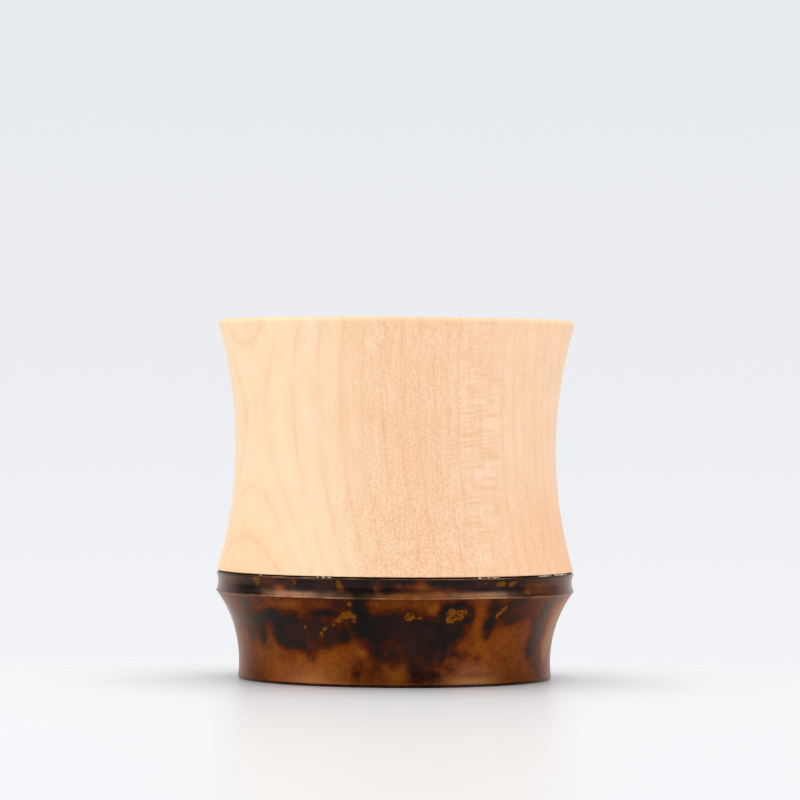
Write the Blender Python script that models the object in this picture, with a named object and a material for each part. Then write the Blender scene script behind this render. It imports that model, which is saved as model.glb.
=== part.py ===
"""Sake cup: a lathe-turned maple cup bonded by its spigot into a turned brass base.

Run with: blender --background --python part.py
Units are metres, +Z is up, and the origin is the centre of the foot, on the table.
Every piece is a turned form, so each one is an outline of (radius, height) points spun about the Z axis.
"""

import math

import bmesh
import bpy

# Whole cup
CUP_HEIGHT = 0.0550
SEAM_HEIGHT = 0.01625
FIT_GAP = 0.0003

# Maple cup, outside: one hollow arc, waisted a little below the middle of the side
SHOULDER_HEIGHT = SEAM_HEIGHT + FIT_GAP
WAIST_RADIUS = 0.0246
WAIST_HEIGHT = 0.0354
SIDE_ARC_RADIUS = 0.0655
SHOULDER_EDGE_ROUND = 0.00012

# Maple cup, inside: flat floor, wide fillet, straight wall, then a flare to the lip
BOWL_FLOOR_HEIGHT = 0.0140
BOWL_RADIUS = 0.0215
BOWL_FILLET = 0.0130
FLARE_HEIGHT = 0.0300
LIP_THICKNESS = 0.0025
LIP_OUTER_ROUND = 0.0008
LIP_INNER_ROUND = 0.0010

# Spigot under the cup, with glue grooves
SPIGOT_RADIUS = 0.0196
SPIGOT_LENGTH = 0.0093
SPIGOT_END_HEIGHT = SHOULDER_HEIGHT - SPIGOT_LENGTH
SPIGOT_CHAMFER = 0.0008
GROOVE_COUNT = 2
GROOVE_WIDTH = 0.0022
GROOVE_DEPTH = 0.0008

# Cured adhesive between the spigot and the socket, stopping short of the seam
BOND_THICKNESS = 0.0004
BOND_SET_BACK = 0.0012
BOND_TOP_HEIGHT = SEAM_HEIGHT - BOND_SET_BACK

# Brass base, inside: the socket that takes the spigot
SOCKET_RADIUS = SPIGOT_RADIUS + BOND_THICKNESS + 2 * FIT_GAP
SOCKET_FLOOR_HEIGHT = SPIGOT_END_HEIGHT - BOND_THICKNESS - 2 * FIT_GAP
SOCKET_CHAMFER = 0.0006

# Brass base, outside: a cove between two ridges, like a bamboo node, over a hollow foot
RIDGE_RADIUS = 0.0275
LOWER_RIDGE_HEIGHT = 0.0134
COVE_DEPTH = 0.00036
RIDGE_EDGE_ROUND = 0.00015
RIDGE_OVERHANG = 0.0003
RIDGE_UNDERSIDE_DROP = 0.0003
FOOT_WAIST_RADIUS = 0.0239
FOOT_WAIST_HEIGHT = 0.0026
FOOT_EDGE_ROUND = 0.0004

# Brass base, underside: a foot ring round a recess
FOOT_RING_INNER_RADIUS = 0.0203
RECESS_DEPTH = 0.0025
RECESS_FILLET = 0.0010

# Finishes: linear colour, roughness and metallic value
MAPLE = ((0.85, 0.62, 0.40), 0.5, 0.0)
PATINATED_BRASS = ((0.16, 0.06, 0.02), 0.3, 0.6)
CURED_EPOXY = ((0.75, 0.68, 0.52), 0.35, 0.0)

# Facets
TURN_STEPS = 64
LONG_ARC_STEPS = 12
BOWL_ARC_STEPS = 8
COVE_STEPS = 6
ROUND_STEPS = 3
SHARP_EDGE_ANGLE = math.radians(28)
MERGE_DISTANCE = 1e-7


def clear_scene():
    for old in list(bpy.data.objects):
        bpy.data.objects.remove(old)


def finish(name, colour, roughness, metallic):
    """A plain Principled material of one colour, given as linear red, green and blue."""
    material = bpy.data.materials.new(name)
    material.use_nodes = True
    shader = material.node_tree.nodes["Principled BSDF"]
    shader.inputs["Base Color"].default_value = (*colour, 1.0)
    shader.inputs["Roughness"].default_value = roughness
    shader.inputs["Metallic"].default_value = metallic
    return material


def arc(centre, radius, start, end, steps):
    """Points on a circle from one angle to another, both ends included."""
    angles = [start + (end - start) * i / steps for i in range(steps + 1)]
    return [(centre[0] + radius * math.cos(a), centre[1] + radius * math.sin(a)) for a in angles]


def hollow_arc(waist_radius, waist_height, arc_radius, top, bottom, steps=LONG_ARC_STEPS):
    """A side that curves in to a waist, from height top down to height bottom."""
    centre = (waist_radius + arc_radius, waist_height)
    start = math.pi - math.asin((top - waist_height) / arc_radius)
    end = math.pi - math.asin((bottom - waist_height) / arc_radius)
    return arc(centre, arc_radius, start, end, steps)


def cove_arc(radius, top, bottom, depth, steps):
    """A shallow hollow between two edges of equal radius, from height top down to height bottom."""
    half_height = (top - bottom) / 2
    arc_radius = (half_height**2 + depth**2) / (2 * depth)
    return hollow_arc(radius - depth, (top + bottom) / 2, arc_radius, top, bottom, steps)


def rounded(before, corner, after, radius, steps=ROUND_STEPS):
    """The corner of two straight runs, replaced by an arc of that radius, tangent to both."""
    to_before = math.atan2(before[1] - corner[1], before[0] - corner[0])
    to_after = math.atan2(after[1] - corner[1], after[0] - corner[0])
    opening = (to_after - to_before + math.pi) % (2 * math.pi) - math.pi
    half = abs(opening) / 2
    bisector = to_before + opening / 2
    reach = radius / math.sin(half)
    centre = (corner[0] + reach * math.cos(bisector), corner[1] + reach * math.sin(bisector))
    swing = math.copysign(math.pi / 2 - half, opening)
    middle = bisector + math.pi
    return arc(centre, radius, middle + swing, middle - swing, steps)


def turned(name, outline, material):
    """One closed solid, made by spinning an outline of (radius, height) points about the Z axis."""
    bm = bmesh.new()
    points = [bm.verts.new((radius, 0.0, height)) for radius, height in outline]
    lines = [bm.edges.new(pair) for pair in zip(points, points[1:])]
    bmesh.ops.spin(
        bm,
        geom=points + lines,
        axis=(0, 0, 1),
        cent=(0, 0, 0),
        angle=2 * math.pi,
        steps=TURN_STEPS,
        use_merge=True,
    )
    bmesh.ops.remove_doubles(bm, verts=bm.verts, dist=MERGE_DISTANCE)
    bmesh.ops.recalc_face_normals(bm, faces=bm.faces)
    mesh = bpy.data.meshes.new(name)
    bm.to_mesh(mesh)
    bm.free()
    mesh.shade_smooth()
    mesh.set_sharp_from_angle(angle=SHARP_EDGE_ANGLE)
    mesh.materials.append(material)
    solid = bpy.data.objects.new(name, mesh)
    bpy.context.scene.collection.objects.link(solid)
    return solid


def groove_heights():
    """Middle heights of the glue grooves, evenly spaced down the spigot, highest first."""
    pitch = SPIGOT_LENGTH / (GROOVE_COUNT + 1)
    return [SHOULDER_HEIGHT - pitch * (i + 1) for i in range(GROOVE_COUNT)]


def grooved_wall(radius):
    """Down a spigot's side from the first groove to the last: each one is a trapezium with 45 degree sides."""
    wall = []
    for middle in groove_heights():
        top = middle + GROOVE_WIDTH / 2
        bottom = middle - GROOVE_WIDTH / 2
        wall += [
            (radius, top),
            (radius - GROOVE_DEPTH, top - GROOVE_DEPTH),
            (radius - GROOVE_DEPTH, bottom + GROOVE_DEPTH),
            (radius, bottom),
        ]
    return wall


def bowl_outline():
    """Inside of the cup, from the middle of its floor up to the start of the lip."""
    centre = (0.0, BOWL_FLOOR_HEIGHT)
    corner = (BOWL_RADIUS, BOWL_FLOOR_HEIGHT)
    wall_top = (BOWL_RADIUS, FLARE_HEIGHT)
    fillet = rounded(centre, corner, wall_top, BOWL_FILLET, BOWL_ARC_STEPS)
    lip_inner_radius = side_outline()[0][0] - LIP_THICKNESS
    flare_height = CUP_HEIGHT - FLARE_HEIGHT
    spread = lip_inner_radius - BOWL_RADIUS
    flare_arc_radius = (flare_height**2 + spread**2) / (2 * spread)
    flare = hollow_arc(BOWL_RADIUS, FLARE_HEIGHT, flare_arc_radius, CUP_HEIGHT, FLARE_HEIGHT, BOWL_ARC_STEPS)
    return [centre, *fillet, *reversed(flare)]


def side_outline():
    """Outside of the cup, from the rim down to the shoulder."""
    return hollow_arc(WAIST_RADIUS, WAIST_HEIGHT, SIDE_ARC_RADIUS, CUP_HEIGHT, SHOULDER_HEIGHT)


def make_maple_cup():
    bowl = bowl_outline()
    side = side_outline()
    spigot_root = (SPIGOT_RADIUS, SHOULDER_HEIGHT)
    outline = [
        *bowl[:-1],
        *rounded(bowl[-2], bowl[-1], side[0], LIP_INNER_ROUND),
        *rounded(bowl[-1], side[0], side[1], LIP_OUTER_ROUND),
        *side[1:-1],
        *rounded(side[-2], side[-1], spigot_root, SHOULDER_EDGE_ROUND),
        spigot_root,
        *grooved_wall(SPIGOT_RADIUS),
        (SPIGOT_RADIUS, SPIGOT_END_HEIGHT + SPIGOT_CHAMFER),
        (SPIGOT_RADIUS - SPIGOT_CHAMFER, SPIGOT_END_HEIGHT),
        (0.0, SPIGOT_END_HEIGHT),
    ]
    return turned("maple_cup", outline, finish("maple", *MAPLE))


def foot_outline():
    """The foot's hollow side, from just under the lower ridge, which overhangs it, down to the table."""
    top = LOWER_RIDGE_HEIGHT - RIDGE_UNDERSIDE_DROP
    rise = top - FOOT_WAIST_HEIGHT
    spread = RIDGE_RADIUS - RIDGE_OVERHANG - FOOT_WAIST_RADIUS
    arc_radius = (rise**2 + spread**2) / (2 * spread)
    return hollow_arc(FOOT_WAIST_RADIUS, FOOT_WAIST_HEIGHT, arc_radius, top, 0.0)


def make_brass_base():
    top_land_end = (RIDGE_RADIUS, SEAM_HEIGHT)
    cove = cove_arc(RIDGE_RADIUS, SEAM_HEIGHT, LOWER_RIDGE_HEIGHT, COVE_DEPTH, COVE_STEPS)
    foot = foot_outline()
    recess_corner = (FOOT_RING_INNER_RADIUS, RECESS_DEPTH)
    recess_centre = (0.0, RECESS_DEPTH)
    foot_ring_inner = (FOOT_RING_INNER_RADIUS, 0.0)
    outline = [
        (0.0, SOCKET_FLOOR_HEIGHT),
        (SOCKET_RADIUS, SOCKET_FLOOR_HEIGHT),
        (SOCKET_RADIUS, SEAM_HEIGHT - SOCKET_CHAMFER),
        (SOCKET_RADIUS + SOCKET_CHAMFER, SEAM_HEIGHT),
        *rounded((SOCKET_RADIUS, SEAM_HEIGHT), top_land_end, cove[1], RIDGE_EDGE_ROUND),
        *cove[1:-1],
        *rounded(cove[-2], cove[-1], foot[0], RIDGE_EDGE_ROUND),
        *foot[:-1],
        *rounded(foot[-2], foot[-1], foot_ring_inner, FOOT_EDGE_ROUND),
        foot_ring_inner,
        *rounded(foot_ring_inner, recess_corner, recess_centre, RECESS_FILLET),
        recess_centre,
    ]
    return turned("brass_base", outline, finish("patinated_brass", *PATINATED_BRASS))


def make_adhesive_bond():
    """The glue line as it cures: a sleeve keyed into the spigot's grooves, and a bed under the spigot."""
    inner_radius = SPIGOT_RADIUS + FIT_GAP
    outer_radius = SOCKET_RADIUS - FIT_GAP
    bed_top = SPIGOT_END_HEIGHT - FIT_GAP
    bed_bottom = SOCKET_FLOOR_HEIGHT + FIT_GAP
    chamfer_start = (inner_radius, bed_top + SPIGOT_CHAMFER)
    chamfer_end = (inner_radius - SPIGOT_CHAMFER, bed_top)
    outline = [
        (0.0, bed_top),
        chamfer_end,
        chamfer_start,
        *reversed(grooved_wall(inner_radius)),
        (inner_radius, BOND_TOP_HEIGHT),
        (outer_radius, BOND_TOP_HEIGHT),
        (outer_radius, bed_bottom),
        (0.0, bed_bottom),
    ]
    return turned("adhesive_bond", outline, finish("cured_epoxy", *CURED_EPOXY))


clear_scene()
make_maple_cup()
make_brass_base()
make_adhesive_bond()
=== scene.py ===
"""Looks of a sake cup: a lathe-turned maple cup, bonded by its spigot into a patinated brass base.

Units are metres, +Z is up and the camera looks along +Y. The origin is the centre of the foot, on the
table. The cup, its base and the glue line between them are turned forms: each is an outline of (radius,
height) points, swept about the Z axis.
"""

import functools
import math
import random

import bpy
import numpy as np
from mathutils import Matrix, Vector


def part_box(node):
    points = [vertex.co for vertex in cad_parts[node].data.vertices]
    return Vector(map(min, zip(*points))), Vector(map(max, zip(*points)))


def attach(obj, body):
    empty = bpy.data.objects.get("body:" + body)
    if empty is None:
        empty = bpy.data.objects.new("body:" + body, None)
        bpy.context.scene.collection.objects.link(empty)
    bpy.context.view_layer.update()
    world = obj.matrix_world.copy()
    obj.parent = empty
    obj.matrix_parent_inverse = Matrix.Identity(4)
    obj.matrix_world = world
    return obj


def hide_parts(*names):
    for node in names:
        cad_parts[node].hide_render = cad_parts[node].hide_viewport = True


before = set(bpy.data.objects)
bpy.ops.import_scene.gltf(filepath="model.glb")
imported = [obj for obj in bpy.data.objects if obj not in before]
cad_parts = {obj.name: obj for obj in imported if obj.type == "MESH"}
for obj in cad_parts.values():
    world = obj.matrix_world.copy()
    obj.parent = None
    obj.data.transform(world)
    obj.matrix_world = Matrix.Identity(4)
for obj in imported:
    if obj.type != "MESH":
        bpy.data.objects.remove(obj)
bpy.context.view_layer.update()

MM = 0.001
PER_MM = 1000.0

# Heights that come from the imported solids
RIM_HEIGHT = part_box("maple_cup")[1].z
SPIGOT_END_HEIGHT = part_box("maple_cup")[0].z
SEAM_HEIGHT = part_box("brass_base")[1].z
BOND_TOP_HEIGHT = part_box("adhesive_bond")[1].z

# Sizes of the solids, as their source names them
FIT_GAP = 0.0003
SHOULDER_HEIGHT = SEAM_HEIGHT + FIT_GAP
WAIST_RADIUS = 0.0246
WAIST_HEIGHT = 0.0354
SIDE_ARC_RADIUS = 0.0655
SHOULDER_EDGE_ROUND = 0.00012
BOWL_FLOOR_HEIGHT = 0.0140
BOWL_RADIUS = 0.0215
BOWL_FILLET = 0.0130
FLARE_HEIGHT = 0.0300
LIP_THICKNESS = 0.0025
LIP_OUTER_ROUND = 0.0008
LIP_INNER_ROUND = 0.0010
SPIGOT_RADIUS = 0.0196
SPIGOT_CHAMFER = 0.0008
GROOVE_COUNT = 2
GROOVE_WIDTH = 0.0022
GROOVE_DEPTH = 0.0008
BOND_THICKNESS = 0.0004
SOCKET_RADIUS = SPIGOT_RADIUS + BOND_THICKNESS + 2 * FIT_GAP
SOCKET_FLOOR_HEIGHT = SPIGOT_END_HEIGHT - BOND_THICKNESS - 2 * FIT_GAP
SOCKET_CHAMFER = 0.0006
RIDGE_RADIUS = 0.0275
LOWER_RIDGE_HEIGHT = 0.0134
COVE_DEPTH = 0.00036
RIDGE_EDGE_ROUND = 0.00015
RIDGE_OVERHANG = 0.0003
RIDGE_UNDERSIDE_DROP = 0.0003
FOOT_WAIST_RADIUS = 0.0239
FOOT_WAIST_HEIGHT = 0.0026
FOOT_EDGE_ROUND = 0.0004
FOOT_RING_INNER_RADIUS = 0.0203
RECESS_DEPTH = 0.0025
RECESS_FILLET = 0.0010

# Seat that closes the seam a little way in, just clear of the cup's shoulder. The brass finish paints it
# near-black, as painted shadow in the seam.
SEAT_RADIUS = 0.0271
SEAT_CLEARANCE = 0.00002
SEAT_RISE = FIT_GAP - SEAT_CLEARANCE

# Fineness of the turned pieces
CUP_TURN_STEPS = 360
BASE_TURN_STEPS = 640
BOND_TURN_STEPS = 128
LONG_ARC_STEPS = 64
BOWL_ARC_STEPS = 28
COVE_STEPS = 20
ROUND_STEPS = 7
FLAT_STEPS = 5
LAND_STEPS = 2
WELD_DISTANCE = 1e-7
SHARP_EDGE_ANGLE = math.radians(35)
# How near to a rounded corner a point makes way for its arc, against the arc's reach
CORNER_ROOM = 1.05


def arc(centre, radius, start, end, steps):
    """Points on a circle from one angle to another, both ends included."""
    angles = [start + (end - start) * i / steps for i in range(steps + 1)]
    return [(centre[0] + radius * math.cos(a), centre[1] + radius * math.sin(a)) for a in angles]


def straight(start, end, steps=FLAT_STEPS):
    """Evenly spaced points from start to end."""
    return [tuple(Vector(start).lerp(Vector(end), i / steps)) for i in range(steps + 1)]


def hollow_arc(waist_radius, waist_height, arc_radius, top, bottom, steps=LONG_ARC_STEPS):
    """A side that curves in to a waist, from height top down to height bottom."""
    centre = (waist_radius + arc_radius, waist_height)
    start = math.pi - math.asin((top - waist_height) / arc_radius)
    end = math.pi - math.asin((bottom - waist_height) / arc_radius)
    return arc(centre, arc_radius, start, end, steps)


def arc_radius_for(rise, spread):
    """Radius of an arc that leaves its waist square and moves out by spread over that rise."""
    return (rise**2 + spread**2) / (2 * spread)


def rounded(before, after, radius):
    """Two runs of points that meet at a corner, joined, with the corner turned to an arc of that radius."""
    corner = Vector(before[-1])
    back = (Vector(before[-2]) - corner).normalized()
    onward = (Vector(after[1]) - corner).normalized()
    half = back.angle(onward) / 2
    reach = radius / math.tan(half)
    centre = corner + (back + onward).normalized() * (radius / math.sin(half))
    kept_before, kept_after = (
        [p for p in run if (Vector(p) - corner).length > reach * CORNER_ROOM] for run in (before, after)
    )
    first = corner + back * reach - centre
    last = corner + onward * reach - centre
    turn = first.angle_signed(last)
    start = math.atan2(first.y, first.x)
    return kept_before + arc(centre, radius, start, start - turn, ROUND_STEPS) + kept_after


def groove_runs(radius):
    """Down a spigot's side past its glue grooves: each one is a trapezium with 45 degree sides."""
    length = SHOULDER_HEIGHT - SPIGOT_END_HEIGHT
    run = []
    for i in range(GROOVE_COUNT):
        middle = SHOULDER_HEIGHT - length * (i + 1) / (GROOVE_COUNT + 1)
        top = middle + GROOVE_WIDTH / 2
        bottom = middle - GROOVE_WIDTH / 2
        run += [
            (radius, top),
            (radius - GROOVE_DEPTH, top - GROOVE_DEPTH),
            (radius - GROOVE_DEPTH, bottom + GROOVE_DEPTH),
            (radius, bottom),
        ]
    return run


def cup_outline():
    """The maple cup: bowl, lip, waisted side, shoulder and spigot."""
    side = hollow_arc(WAIST_RADIUS, WAIST_HEIGHT, SIDE_ARC_RADIUS, RIM_HEIGHT, SHOULDER_HEIGHT)
    lip_inner = (side[0][0] - LIP_THICKNESS, RIM_HEIGHT)
    fillet_centre = (BOWL_RADIUS - BOWL_FILLET, BOWL_FLOOR_HEIGHT + BOWL_FILLET)
    floor = straight((0.0, BOWL_FLOOR_HEIGHT), (fillet_centre[0], BOWL_FLOOR_HEIGHT))
    fillet = arc(fillet_centre, BOWL_FILLET, -math.pi / 2, 0.0, BOWL_ARC_STEPS)
    flare_radius = arc_radius_for(RIM_HEIGHT - FLARE_HEIGHT, lip_inner[0] - BOWL_RADIUS)
    flare = hollow_arc(BOWL_RADIUS, FLARE_HEIGHT, flare_radius, RIM_HEIGHT, FLARE_HEIGHT, BOWL_ARC_STEPS)
    bowl = floor[:-1] + fillet + flare[::-1]
    outline = rounded(bowl, [lip_inner, side[0]], LIP_INNER_ROUND)
    outline = rounded(outline, side, LIP_OUTER_ROUND)
    shoulder = straight(side[-1], (SPIGOT_RADIUS, SHOULDER_HEIGHT))
    outline = rounded(outline, shoulder, SHOULDER_EDGE_ROUND)
    spigot = [
        (SPIGOT_RADIUS, SPIGOT_END_HEIGHT + SPIGOT_CHAMFER),
        (SPIGOT_RADIUS - SPIGOT_CHAMFER, SPIGOT_END_HEIGHT),
        (0.0, SPIGOT_END_HEIGHT),
    ]
    return outline + groove_runs(SPIGOT_RADIUS) + spigot


def base_outline():
    """The brass base: socket, top land, cove between two ridges, hollow foot, foot ring and recess."""
    socket = [
        (0.0, SOCKET_FLOOR_HEIGHT),
        (SOCKET_RADIUS, SOCKET_FLOOR_HEIGHT),
        (SOCKET_RADIUS, SEAM_HEIGHT - SOCKET_CHAMFER),
    ]
    seat = straight(
        (SOCKET_RADIUS + SOCKET_CHAMFER, SEAM_HEIGHT + SEAT_RISE),
        (SEAT_RADIUS, SEAM_HEIGHT + SEAT_RISE),
    )
    land = straight((SEAT_RADIUS, SEAM_HEIGHT), (RIDGE_RADIUS, SEAM_HEIGHT), LAND_STEPS)
    cove_middle = (SEAM_HEIGHT + LOWER_RIDGE_HEIGHT) / 2
    cove_arc_radius = arc_radius_for(SEAM_HEIGHT - cove_middle, COVE_DEPTH)
    cove_waist = RIDGE_RADIUS - COVE_DEPTH
    cove = hollow_arc(cove_waist, cove_middle, cove_arc_radius, SEAM_HEIGHT, LOWER_RIDGE_HEIGHT, COVE_STEPS)
    foot_top = LOWER_RIDGE_HEIGHT - RIDGE_UNDERSIDE_DROP
    foot_spread = RIDGE_RADIUS - RIDGE_OVERHANG - FOOT_WAIST_RADIUS
    foot_arc_radius = arc_radius_for(foot_top - FOOT_WAIST_HEIGHT, foot_spread)
    foot = hollow_arc(FOOT_WAIST_RADIUS, FOOT_WAIST_HEIGHT, foot_arc_radius, foot_top, 0.0)
    ring = straight(foot[-1], (FOOT_RING_INNER_RADIUS, 0.0))
    wall = [ring[-1], (FOOT_RING_INNER_RADIUS, RECESS_DEPTH)]
    recess = straight(wall[-1], (0.0, RECESS_DEPTH))
    outline = rounded(socket + seat + land, cove, RIDGE_EDGE_ROUND)
    outline = rounded(outline, [cove[-1], *foot], RIDGE_EDGE_ROUND)
    outline = rounded(outline, ring, FOOT_EDGE_ROUND)
    return rounded(outline + wall[1:], recess, RECESS_FILLET)


def bond_outline():
    """The cured glue: a sleeve keyed into the spigot's grooves, and a bed under the spigot."""
    inner_radius = SPIGOT_RADIUS + FIT_GAP
    outer_radius = SOCKET_RADIUS - FIT_GAP
    bed_top = SPIGOT_END_HEIGHT - FIT_GAP
    bed_bottom = SOCKET_FLOOR_HEIGHT + FIT_GAP
    return [
        (0.0, bed_top),
        (inner_radius - SPIGOT_CHAMFER, bed_top),
        (inner_radius, bed_top + SPIGOT_CHAMFER),
        *reversed(groove_runs(inner_radius)),
        (inner_radius, BOND_TOP_HEIGHT),
        (outer_radius, BOND_TOP_HEIGHT),
        (outer_radius, bed_bottom),
        (0.0, bed_bottom),
    ]


def linear(hex_colour):
    """An sRGB hex colour as linear red, green, blue and alpha."""
    channels = [int(hex_colour[i : i + 2], 16) / 255 for i in (1, 3, 5)]
    return (*[c / 12.92 if c <= 0.04045 else ((c + 0.055) / 1.055) ** 2.4 for c in channels], 1.0)


# Kinds of node that come often, and the two ways that a range can go
MATH = "ShaderNodeMath"
MIX = "ShaderNodeMix"
NOISE = "ShaderNodeTexNoise"
RANGE = "ShaderNodeMapRange"
VECTOR = "ShaderNodeVectorMath"
EVEN = {"interpolation_type": "LINEAR"}
EASED = {"interpolation_type": "SMOOTHSTEP"}
# Sockets of a colour Mix node, by number because their names repeat
SHARE = 0
UNDER = 6
OVER = 7


def add(tree, kind, inputs=(), stops=(), points=(), **settings):
    """Adds one node: settings are its properties, and inputs its sockets, by name or number, or in order.

    A socket given as an input is linked, and so is a node, by its first output in use. A hex colour is made
    linear. Stops are a colour ramp's (position, hex colour) pairs, and points a curve's (x, y) pairs.
    """
    node = tree.nodes.new(kind)
    for name, value in settings.items():
        setattr(node, name, value)
    named = inputs if isinstance(inputs, dict) else dict(enumerate(inputs))
    for name, value in named.items():
        if isinstance(value, bpy.types.Node):
            value = next(output for output in value.outputs if output.enabled)
        if isinstance(value, bpy.types.NodeSocket):
            tree.links.new(value, node.inputs[name])
        else:
            node.inputs[name].default_value = linear(value) if isinstance(value, str) else value
    if stops:
        ramp = node.color_ramp.elements
        while len(ramp) < len(stops):
            ramp.new(1.0)
        for element, (position, colour) in zip(ramp, stops):
            element.position = position
            element.color = linear(colour)
    if points:
        curve = node.mapping.curves[0].points
        while len(curve) < len(points):
            curve.new(1.0, 1.0)
        for point, place in zip(curve, points):
            point.location = place
            point.handle_type = "VECTOR"
        node.mapping.update()
    return node


def between(first, last, pairs):
    """Pairs whose first numbers, from first to last, are brought to 0 to 1, as a ramp or a curve needs."""
    return [((number - first) / (last - first), value) for number, value in pairs]


def new_finish(name):
    """A new material, the means to add its nodes, and the place of a point in object coordinates."""
    material = bpy.data.materials.new(name)
    material.use_nodes = True
    material.node_tree.nodes.clear()
    node = functools.partial(add, material.node_tree)
    return material, node, node("ShaderNodeTexCoord").outputs["Object"]


# The block of maple that the cup was turned from: the ways across its rings, across its rays and along its
# grain, and the edges of its rings by depth, in mm from the middle of the rim towards the bark
RING_NORMAL = Vector((-0.859, -0.507, -0.075)).normalized()
RAY_NORMAL = Vector((-0.507, 0.858, 0.0)).normalized()
GRAIN = RING_NORMAL.cross(RAY_NORMAL)
RING_EDGES_MM = (
    *(-28.1, -25.8, -23.6, -21.2, -19.0, -16.6, -14.4, -12.1, -9.9, -7.4, -5.2, -2.9, -0.6, 1.3, 3.1),
    *(4.85, 6.7, 8.5, 10.6, 13.0, 15.3, 17.8, 20.0, 22.35, 24.25, 25.75, 26.75, 28.4, 30.2, 32.1),
)
RING_SPAN_MM = (RING_EDGES_MM[0], RING_EDGES_MM[-1])
RING_WIDTH_MM = 2.2
RING_LINE_MM = 0.26
HALF_RING = 0.5
# Colour of the wood by depth
WOOD_TONES = (
    (-12.0, "#fcd6b2"),
    (-4.0, "#fcd6b3"),
    (5.0, "#fbd3af"),
    (12.5, "#fbd0aa"),
    (18.8, "#fbd6b0"),
    (23.5, "#fddfba"),
    (26.5, "#fddfb9"),
    (30.0, "#fad7a9"),
)
# Noises in the wood: mm across the rings, across the rays and along the grain, how much finer detail, and
# which two values of it give which other two. Real pores and fibres are under 0.1 mm, too fine to show in
# the render, so both are drawn as coarse as they need to show.
WOOD_NOISES = {
    "slow_wander": ((16.0, 16.0, 45.0), 2.0, 0.0, 1.0, -0.25, 0.25, EVEN),
    "quick_wander": ((1.2, 1.2, 5.0), 2.0, 0.0, 1.0, -0.16, 0.16, EVEN),
    "fading": ((3.0, 3.0, 11.0), 2.0, 0.36, 0.64, 0.10, 1.0, EASED),
    "cloud": ((2.5, 2.5, 6.0), 3.0, 0.35, 0.70, 0.0, 1.0, EASED),
    "fibre": ((0.42, 0.42, 9.0), 1.5, 0.25, 0.75, -1.0, 1.0, EVEN),
    "pore": ((0.34, 0.34, 0.36), 2.0, 0.25, 0.75, -1.0, 1.0, EVEN),
    "ray": ((3.2, 1.0, 0.46), 1.0, 0.25, 0.75, -1.0, 1.0, EVEN),
}
# How far the fibres, the pores and the ray flecks lighten or darken red, green and blue
FIBRE_SWING = (0.035, 0.07, 0.10)
PORE_SWING = (0.065, 0.125, 0.18)
RAY_SWING = (0.045, 0.115, 0.22)
# Where the texture gets fainter: from one depth to another, and the share of it there
OUTER_TEXTURE = (14.5, 24.0, 1.0, 0.18)
HEART_TEXTURE = (5.0, -2.0, 1.0, 0.55)
# The low wood, between two heights: its texture reaches some mm further out, and its pores are more open
LOW_WOOD_HEIGHTS = (0.034, 0.022)
LOW_TEXTURE_MM = 2.0
LOW_PORES = 1.45
# Depths between which the low wood turns darker and warmer towards the heart, on the cup's lower right:
# painted shade with a warmer tone
LOW_SHADE_DEPTHS = (6.0, -14.0)
# How squarely a side faces along the rays or the grain to show ray flecks or end grain, from least to most.
# Its lean counts for less than its turn, a few flecks stray, and the pores give way to them.
RAY_FACING = (0.980, 0.998)
END_GRAIN_FACING = (0.80, 1.0)
LEAN_WEIGHT = (1, 1, 0.6)
STRAY_RAYS = 0.06
PORES_AMONG_RAYS = 0.5


def growth_rings(node, from_heart):
    """How far a point lies in the dark line between two rings, and how far in the late wood beside it."""
    years = len(RING_EDGES_MM) - 1
    edges = [(edge, i / years) for i, edge in enumerate(RING_EDGES_MM)]
    growth = between(*RING_SPAN_MM, edges)
    age = node("ShaderNodeFloatCurve", {"Value": from_heart}, points=growth)
    ring = node(MATH, [age, years], operation="MULTIPLY")
    off_line = node(MATH, [ring, HALF_RING], operation="PINGPONG")
    return [
        node(RANGE, [off_line, 0.0, reach, 1.0, 0.0], **EASED)
        for reach in (RING_LINE_MM / RING_WIDTH_MM, HALF_RING)
    ]


def sawn_faces(node):
    """How far a point's side shows the ladder of ray flecks of quarter-sawn wood, and how far end grain."""
    normal = node("ShaderNodeNewGeometry").outputs["Normal"]
    upright = node(VECTOR, [normal, LEAN_WEIGHT], operation="MULTIPLY")
    upright = node(VECTOR, [upright], operation="NORMALIZE")
    shown = []
    for way, axis, facing, least in (
        (upright, RAY_NORMAL, RAY_FACING, STRAY_RAYS),
        (normal, GRAIN, END_GRAIN_FACING, 0.0),
    ):
        towards = node(VECTOR, [way, axis], operation="DOT_PRODUCT")
        towards = node(MATH, [towards], operation="ABSOLUTE")
        shown.append(node(RANGE, [towards, *facing, least, 1.0], **EASED))
    return shown


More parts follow.
